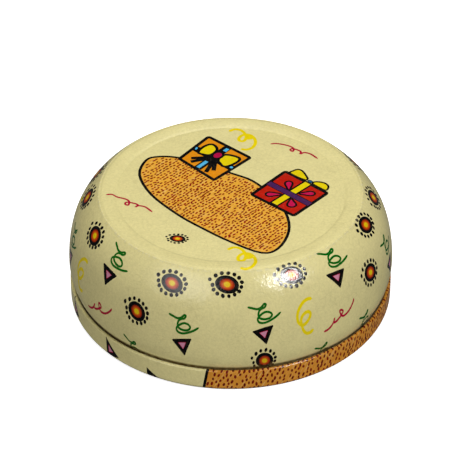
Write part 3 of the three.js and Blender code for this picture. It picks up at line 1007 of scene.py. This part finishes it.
def make_talc():
    """The powder: settled in soft hills, with a fine crumb."""
    foot, base, level, crown = 52.15, TUB_BASE + 1.4, 19.3, 0.8
    path = [(0, base), (foot - 1.6, base), (foot, base + 1.6)]
    path += [(r, level - crown * (r / foot) ** 2) for r in np.linspace(foot, 0, 60)]
    piece = turned("talc_powder", path, steps=160)
    for vertex in piece.data.vertices:
        x, y, z = vertex.co / MM
        if z > level - crown - 0.01 and math.hypot(x, y) < foot - 0.5:
            hills = noise.noise((x / 14, y / 14, 0.3)) * 0.5 + noise.noise((x / 5, y / 5, 4)) * 0.2
            crumb = noise.noise((x / 1.1, y / 1.1, 9)) * 0.08
            vertex.co.z = (z - 0.55 + min(0.5, hills + crumb)) * MM
    s = Shader("talc_grain")
    grain = s.noise(0.18, 3.0, 0.7)
    lumps = s.noise(1.6, 3.0, 0.6)
    colour = s.mix(s.span(lumps, 0.3, 0.7), rgba(250, 248, 243), rgba(238, 234, 226))
    crumbs = s.bump(grain, 0.05, s.bump(lumps, 0.12))
    powder = s.finish(colour, s.span(grain, 0.3, 0.7, 0.92, 1.0), crumbs, Sheen_Weight=0.2,
                      Sheen_Roughness=0.6, Specular_IOR_Level=0.2)
    return give(piece, "base", "talc", ["talc_fill"], powder)


def make_sifter(plastic):
    """The pierced dish that closes the tub, with the lug that stops the shutter."""
    rim = [(0, SIFTER_BASE), (1.5, SIFTER_BASE), (1.8, SIFTER_BASE + 0.3), (1.8, RIM_TOP - 0.4),
           (1.65, RIM_TOP - 0.1), (1.35, RIM_TOP), (0.5, RIM_TOP), (0.15, RIM_TOP - 0.1),
           (0, RIM_TOP - 0.4), (0, SIFTER_TOP + 0.4), (-0.12, SIFTER_TOP + 0.12), (-0.4, SIFTER_TOP)]
    holes = [circle(1.6, count=32)]
    for row in range(12):
        for reach in (16, 23, 30, 37):
            holes.append(circle(1.3, turn([(reach, 0)], 15 + 30 * row)[0]))
    dish = plate(circle(52, count=SPOKES), rim, holes, bevelled(SIFTER_BASE, SIFTER_TOP, 0.2, -1))
    lug_rows = bevelled(SIFTER_TOP - 0.1, SIFTER_TOP + 0.9, 0.25, 1)
    lug = plate(rounded_box(4, 2.2, (0, 48)), lug_rows)
    piece = hard_edged(mesh_object("sifter_dish", *joined(dish, lug)), 28)
    return give(piece, "base", "tub_plastic", ["sifter_plate"], plastic)


def shutter_rim():
    """The shutter's edge: round, but cut back where the stop lug travels."""
    half_lug = math.degrees(2 / 46)
    start, end = 90 - 16 - half_lug, 90 + 1 + half_lug
    return np.array(arc((0, 0), 49, end, start + 360, 131) + arc((0, 0), 46, start, end, 11))


def make_shutter():
    """The slotted disc that turns on the sifter, with a ribbed thumb tab."""
    holes = [circle(1.6, count=32), *(capsule(16, 37, 1.6, 30 * k) for k in range(12))]
    wall, hole_wall = (bevelled(SHUTTER_BASE, SHUTTER_TOP, 0.2, way) for way in (1, -1))
    tab_top = SHUTTER_TOP + 0.9
    tab = plate(rounded_box(9, 2.4, (0, -45)), bevelled(SHUTTER_TOP - 0.1, tab_top - 0.25, 0.2, 1))
    parts = [plate(shutter_rim(), wall, holes, hole_wall), tab]
    for x in np.linspace(-3.6, 3.6, 7):
        rows = bevelled(tab_top - 0.35, tab_top, 0.12, 1)
        parts.append(plate(rounded_box(0.6, 1.9, (x, -45), 0.25), rows))
    piece = hard_edged(mesh_object("sifter_dial", *joined(*parts)), 28)
    material = moulded_plastic("dial_plastic", (218, 162, 60), (210, 154, 54), 0.3)
    return give(piece, "shutter", "shutter_plastic", ["sifter_shutter"], material)


def make_rivet(plastic):
    """The snap rivet that the shutter turns on."""
    head, foot = SHUTTER_TOP + 0.1, SIFTER_BASE - 0.1
    path = [(0, foot - 0.7), (2.3, foot - 0.7), (2.6, foot - 0.4), (2.6, foot), (1.5, foot),
            (1.5, head), (3.3, head), (3.4, head + 0.15), (3.3, head + 0.4), (2.6, head + 0.66),
            (1.6, head + 0.84), (1.1, head + 0.88), (0.8, head + 0.72), (0, head + 0.66)]
    piece = hard_edged(turned("rivet_button", path, steps=48), 50)
    return give(piece, "base", "tub_plastic", ["sifter_rivet"], plastic)


# ---------------------------------------------------------------- the puff


def back_height(reach):
    """Height of the puff's crowned back at a radius."""
    drop = BACK_CROWN - BACK_EDGE
    radius = (BACK_RADIUS ** 2 + drop ** 2) / (2 * drop)
    return BACK_BASE + BACK_CROWN - radius + math.sqrt(radius ** 2 - reach ** 2)


def applied(piece):
    """Replaces the piece's mesh with what its modifiers make of it."""
    graph = bpy.context.evaluated_depsgraph_get()
    mesh = bpy.data.meshes.new_from_object(piece.evaluated_get(graph))
    piece.modifiers.clear()
    piece.data = mesh
    mesh.name = piece.name


def subdivided(piece):
    """Puts a smooth surface through the piece's points, at half their spacing."""
    finer = piece.modifiers.new("finer", "SUBSURF")
    finer.levels = finer.render_levels = 1
    applied(piece)


def coordinates(mesh):
    """The points of a mesh, in millimetres."""
    values = np.empty(len(mesh.vertices) * 3, np.float32)
    mesh.vertices.foreach_get("co", values)
    return values.reshape(-1, 3).astype(float) / MM


def move_points(piece, points):
    """Puts a piece's points at new places, in millimetres."""
    piece.data.vertices.foreach_set("co", (points * MM).astype(np.float32).ravel())
    piece.data.shade_smooth()


def swell(piece, voxel, pressure, cap):
    """Stuffs a soft piece: cloth under pressure, which may not move further than cap, in mm."""
    remesh = piece.modifiers.new("remesh", "REMESH")
    remesh.mode, remesh.voxel_size = "VOXEL", voxel * MM
    applied(piece)
    rest = coordinates(piece.data)
    cloth = piece.modifiers.new("cloth", "CLOTH").settings
    cloth.quality = 6
    cloth.tension_stiffness = cloth.compression_stiffness = 25
    cloth.bending_stiffness = 0.8
    cloth.use_pressure, cloth.uniform_pressure_force = True, pressure
    cloth.effector_weights.gravity = 0
    for step in range(1, 21):
        bpy.context.scene.frame_set(step)
    graph = bpy.context.evaluated_depsgraph_get()
    moved = coordinates(piece.evaluated_get(graph).data) - rest
    piece.modifiers.clear()
    reach = np.linalg.norm(moved, axis=1)[:, None]
    move_points(piece, rest + moved * np.minimum(1, cap / np.maximum(reach, 1e-9)))
    bpy.context.scene.frame_set(1)
    subdivided(piece)
    piece.data.shade_smooth()


def make_pile():
    """The velour side of the puff: a soft thick disc with a clumped nap."""
    edge, round_off, inset = 46.2, 3.6, 0.7
    low, high = PILE_BASE + inset, PILE_TOP - inset
    path = [(0, low), *arc((edge - round_off, low + 3.2), 3.2, -90, 0, 6),
            *arc((edge - round_off, high - 3.2), 3.2, 0, 90, 6), (0, high)]
    piece = turned("puff_velour", path, steps=96)
    swell(piece, 2.2, 3.0, 0.9)
    subdivided(piece)
    points = coordinates(piece.data)
    normals = np.array([vertex.normal for vertex in piece.data.vertices])
    nap = [noise.noise(Vector(p) / 1.5) * 0.3 + noise.noise(Vector(p) / 0.7) * 0.12 for p in points]
    points += normals * np.minimum(nap, 0.2)[:, None]
    reach = np.hypot(points[:, 0], points[:, 1])
    points[:, :2] *= np.minimum(1, 46.95 / np.maximum(reach, 1e-6))[:, None]
    points[:, 2] = np.clip(points[:, 2], PILE_BASE, PILE_TOP)
    move_points(piece, points)
    s = Shader("velour")
    nap = s.noise(0.35, 3.0, 0.7)
    brushed = s.noise(5.0, 3.0, 0.5, s.scaled(1, 0.5, 1), 1.0)
    colour = s.mix(s.span(brushed, 0.35, 0.65), rgba(250, 236, 226), rgba(238, 214, 204))
    colour = s.mix(s.span(nap, 0.35, 0.7, 0.0, 0.6), colour, rgba(222, 192, 182))
    velour = s.finish(colour, s.span(nap, 0.3, 0.7, 0.9, 1.0), s.bump(nap, 0.2), Sheen_Weight=0.6,
                      Sheen_Roughness=0.35, Sheen_Tint=(1, 0.95, 0.92, 1), Specular_IOR_Level=0.1)
    return give(piece, "puff", "velour_pile", ["puff_pile"], velour)


def satin(name, colour, shade, thread):
    """Woven satin: long floats with a soft sheen, a little crushed."""
    s = Shader(name)
    threads = s.noise(0.22, 2.0, 0.5, s.scaled(*thread))
    crush = s.noise(4.0, 3.0, 0.55)
    tone = s.mix(s.span(crush, 0.3, 0.7), rgba(*colour), rgba(*shade))
    tone = s.mix(s.span(threads, 0.35, 0.7, 0.0, 0.35), tone, rgba(*(int(c * 0.78) for c in shade)))
    weave = s.bump(threads, 0.03, s.bump(crush, 0.12))
    return s.finish(tone, s.span(threads, 0.3, 0.7, 0.3, 0.46), weave, Sheen_Weight=0.35,
                    Sheen_Roughness=0.3, Sheen_Tint=(1, 0.86, 0.88, 1), Anisotropic=0.4)


def make_back():
    """The satin back of the puff: crowned, and gathered in pleats at the piping."""
    path = [(0, BACK_BASE + 0.3), (42.0, BACK_BASE + 0.3), (42.4, BACK_BASE + 0.7)]
    path += [(r, back_height(r) - 0.75) for r in (42.3, 41, 39, *range(36, 3, -4), 0)]
    piece = turned("puff_cushion", path, steps=96)
    swell(piece, 1.6, 2.5, 0.5)
    points = coordinates(piece.data)
    reach = np.hypot(points[:, 0], points[:, 1])
    angle = np.arctan2(points[:, 1], points[:, 0])
    share = np.clip((reach - 24) / 17, 0, 1)
    pleats = np.cos(54 * angle + 1.5 * np.sin(5 * angle)) * share ** 2 * 0.32
    on_top = points[:, 2] > BACK_BASE + 1.2
    ceiling = np.array([back_height(min(r, BACK_RADIUS)) for r in reach])
    points[:, 2] += np.where(on_top, pleats - 0.3 * share, 0)
    points[:, 2] = np.clip(points[:, 2], BACK_BASE, ceiling)
    move_points(piece, points)
    return give(piece, "puff", "puff_satin", ["puff_back"],
                satin("back_satin", (206, 112, 130), (188, 90, 110), (1.0, 0.3, 1.0)))


def make_piping():
    """A twisted satin cord sewn round the puff, of three strands."""
    steps, sides, twists, radius, tube = 1080, 18, 46, 44.3, 1.1
    a = 2 * math.pi * np.arange(steps)[:, None] / steps
    b = 2 * math.pi * np.arange(sides) / sides
    bulge = tube * (0.8 + 0.2 * abs(np.cos(1.5 * (b - twists * a))))
    reach = radius + bulge * np.cos(b)
    points = np.stack([reach * np.cos(a), reach * np.sin(a), BACK_BASE + tube + bulge * np.sin(b)], 2)
    lines = np.arange(steps * sides).reshape(steps, sides).T.tolist()
    piece = mesh_object("puff_cord", points.reshape(-1, 3), row_faces(lines + lines[:1]))
    return give(piece, "puff", "puff_satin", ["puff_piping"],
                satin("cord_satin", (214, 124, 140), (196, 98, 118), (0.6, 0.6, 1.0)))


RIBBON_HALF, RIBBON_FOOT, RIBBON_WIDTH, RIBBON_TOP = 23, 5, 16, 44.2


def ribbon_line():
    """The middle of the ribbon's thickness, from one foot over the arch to the other."""
    low = back_height(RIBBON_HALF) + 0.4
    foot = (RIBBON_HALF + RIBBON_FOOT - 0.2, back_height(RIBBON_HALF + RIBBON_FOOT) + 0.4)
    arch = soft_step((RIBBON_HALF, low), (0, RIBBON_TOP - 0.35), 30)
    half = [foot, *arch]
    return half + [(-x, z) for x, z in half[-2::-1]]


def make_ribbon():
    """A flat satin ribbon, the puff's handle, with corded edges."""
    line = resampled(ribbon_line(), 0.6, 0.8)
    normals = -along_and_left(line)[1]
    across = np.linspace(-1, 1, 33)
    rows, columns = len(line), len(across)
    points = []
    for side in (1, -1):
        thick = 0.16 + 0.1 * np.exp(-((abs(across) - 0.93) / 0.04) ** 2)
        lift = side * thick - 0.12 * across ** 2
        for (x, z), (nx, nz) in zip(line, normals):
            points.extend(zip(x + nx * lift, across * (RIBBON_WIDTH / 2 - 0.15), z + nz * lift))
    grid = np.arange(rows * columns).reshape(rows, columns)
    faces = flipped(row_faces(grid.tolist(), closed=False))
    under = rows * columns
    faces.extend([a + under for a in face] for face in flipped(faces[:]))
    border = [*grid[:, 0], *grid[-1, 1:], *grid[-2::-1, -1], *grid[0, -2:0:-1]]
    faces.extend([a, a + under, b + under, b] for a, b in zip(border, border[1:] + border[:1]))
    piece = mesh_object("ribbon_band", points, faces)
    fix_normals(piece)
    return give(piece, "puff", "ribbon_satin", ["puff_ribbon"],
                satin("ribbon_weave", (218, 130, 146), (200, 104, 124), (1.0, 0.12, 1.0)))


def stitch(x, y, z):
    """A short thread along y, thickest in its middle."""
    length, radius, sides, steps = 0.95, 0.16, 6, 5
    points = []
    for t in np.linspace(-0.5, 0.5, steps + 1):
        size = radius * math.sqrt(max(0.08, 1 - (2 * t) ** 2))
        points.extend((x + u, y + length * t, z + v) for u, v in circle(size, count=sides))
    rows = np.arange(len(points)).reshape(-1, sides).tolist()
    return points, [*row_faces(rows), rows[0][::-1], rows[-1]]


def make_stitches():
    """The thread that holds down each foot of the ribbon: a box of short stitches."""
    threads = [stitch(x, y, back_height(abs(x)) + 0.72) for x in (-24.0, -27.2, 24.0, 27.2)
               for y in np.linspace(-6.6, 6.6, 11)]
    piece = mesh_object("ribbon_stitches", *joined(*threads))
    s = Shader("thread")
    ply = s.noise(0.15, 2.0, 0.5, s.scaled(1, 0.4, 1))
    thread = s.finish(s.mix(ply, rgba(176, 78, 98), rgba(216, 132, 146)),
                      s.span(ply, 0.3, 0.7, 0.5, 0.7), s.bump(ply, 0.03))
    return give(piece, "puff", "ribbon_satin", [], thread)


def fix_normals(piece):
    """Turns all faces of a closed piece outwards."""
    mesh = bmesh.new()
    mesh.from_mesh(piece.data)
    bmesh.ops.recalc_face_normals(mesh, faces=mesh.faces)
    mesh.to_mesh(piece.data)
    mesh.free()


# ---------------------------------------------------------------- camera, light and floor

AIM = Vector((0, 0, 24)) * MM
ELEVATION, DISTANCE = 36.55, 1.0
AIM_LEFT, AIM_UP = 2.13 * MM, 4.93 * MM  # how far the camera looks past the aim
# Azimuth, elevation, distance, size, power and whether the varnish mirrors it. The key makes the
# glare on the right shoulder, and the fill the broad glow on the left one.
LIGHTS = {
    "key": (45.5, 42, 0.9, 0.21, 3.6, True),
    "fill": (-36, 37, 1.0, 0.62, 2.3, True),
    "rear": (168, 62, 1.1, 0.5, 0.8, True),
    "top": (-162, 68, 1.1, 0.8, 7.4, False),
    "front": (5, 25, 1.0, 0.9, 0.9, False),
    "bounce": (0, -90, AIM.z - 0.5 * MM, 0.8, 0.9, False),
}


def towards(azimuth, elevation):
    """The direction at an azimuth, to the right of the front, and an elevation, in degrees."""
    a, e = math.radians(azimuth), math.radians(elevation)
    return Vector((math.sin(a) * math.cos(e), -math.cos(a) * math.cos(e), math.sin(e)))


def look_at(thing, location, target):
    """Puts a camera or a light somewhere, turned to a target."""
    thing.location = location
    thing.rotation_euler = (target - location).to_track_quat("-Z", "Y").to_euler()


def make_camera():
    data = bpy.data.cameras.new("camera")
    data.lens, data.sensor_width = 216, 36
    data.clip_start, data.clip_end = 0.05, 20
    camera = placed("camera", data)
    tilt = math.radians(ELEVATION)
    target = AIM + Vector((-AIM_LEFT, AIM_UP * math.sin(tilt), AIM_UP * math.cos(tilt)))
    look_at(camera, AIM + towards(0, ELEVATION) * DISTANCE, target)
    bpy.context.scene.camera = camera


def make_light(name, azimuth, elevation, distance, size, power, mirrored):
    """A square soft light aimed at the tin; one that is not mirrored only fills the shadows."""
    data = bpy.data.lights.new(name, "AREA")
    data.shape, data.size, data.energy = "SQUARE", size, power
    data.color = (1, 1, 1) if mirrored else (1, 0.98, 0.9)
    light = placed(name, data)
    look_at(light, AIM + towards(azimuth, elevation) * distance, AIM)
    light.visible_camera, light.visible_glossy = False, mirrored


def make_world():
    world = bpy.data.worlds.new("studio")
    world.use_nodes = True
    background = world.node_tree.nodes["Background"]
    background.inputs[0].default_value = (0.95, 0.97, 1.0, 1)
    background.inputs[1].default_value = 0.03
    bpy.context.scene.world = world


def make_floor():
    """A large pale floor whose top is at height zero."""
    side = 3.0
    corners = [(-side, -side, 0), (side, -side, 0), (side, side, 0), (-side, side, 0)]
    mesh = bpy.data.meshes.new("floor")
    mesh.from_pydata(corners, [], [(0, 1, 2, 3)])
    floor = placed("floor", mesh)
    s = Shader("floor")
    tone = s.span(s.noise(30.0, 2.0), 0.3, 0.7)
    colour = s.mix(tone, (0.93, 0.93, 0.935, 1), (0.95, 0.95, 0.95, 1))
    mesh.materials.append(s.finish(colour, 0.85, s.bump(s.noise(0.6), 0.01),
                                   Emission_Color=(1, 1, 1, 1), Emission_Strength=0.78))
    floor.visible_diffuse = floor.visible_glossy = False


make_camera()
make_world()
make_floor()
for light_name, light_settings in LIGHTS.items():
    make_light(light_name, *light_settings)
bpy.context.scene.view_settings.view_transform = "Standard"

make_cover()
make_pan()
make_liner()
white_plastic = moulded_plastic("white_plastic", (240, 236, 226), (230, 225, 212), 0.34)
make_tub(white_plastic)
make_talc()
make_sifter(white_plastic)
make_shutter()
make_rivet(white_plastic)
make_pile()
make_back()
make_piping()
make_ribbon()
make_stitches()
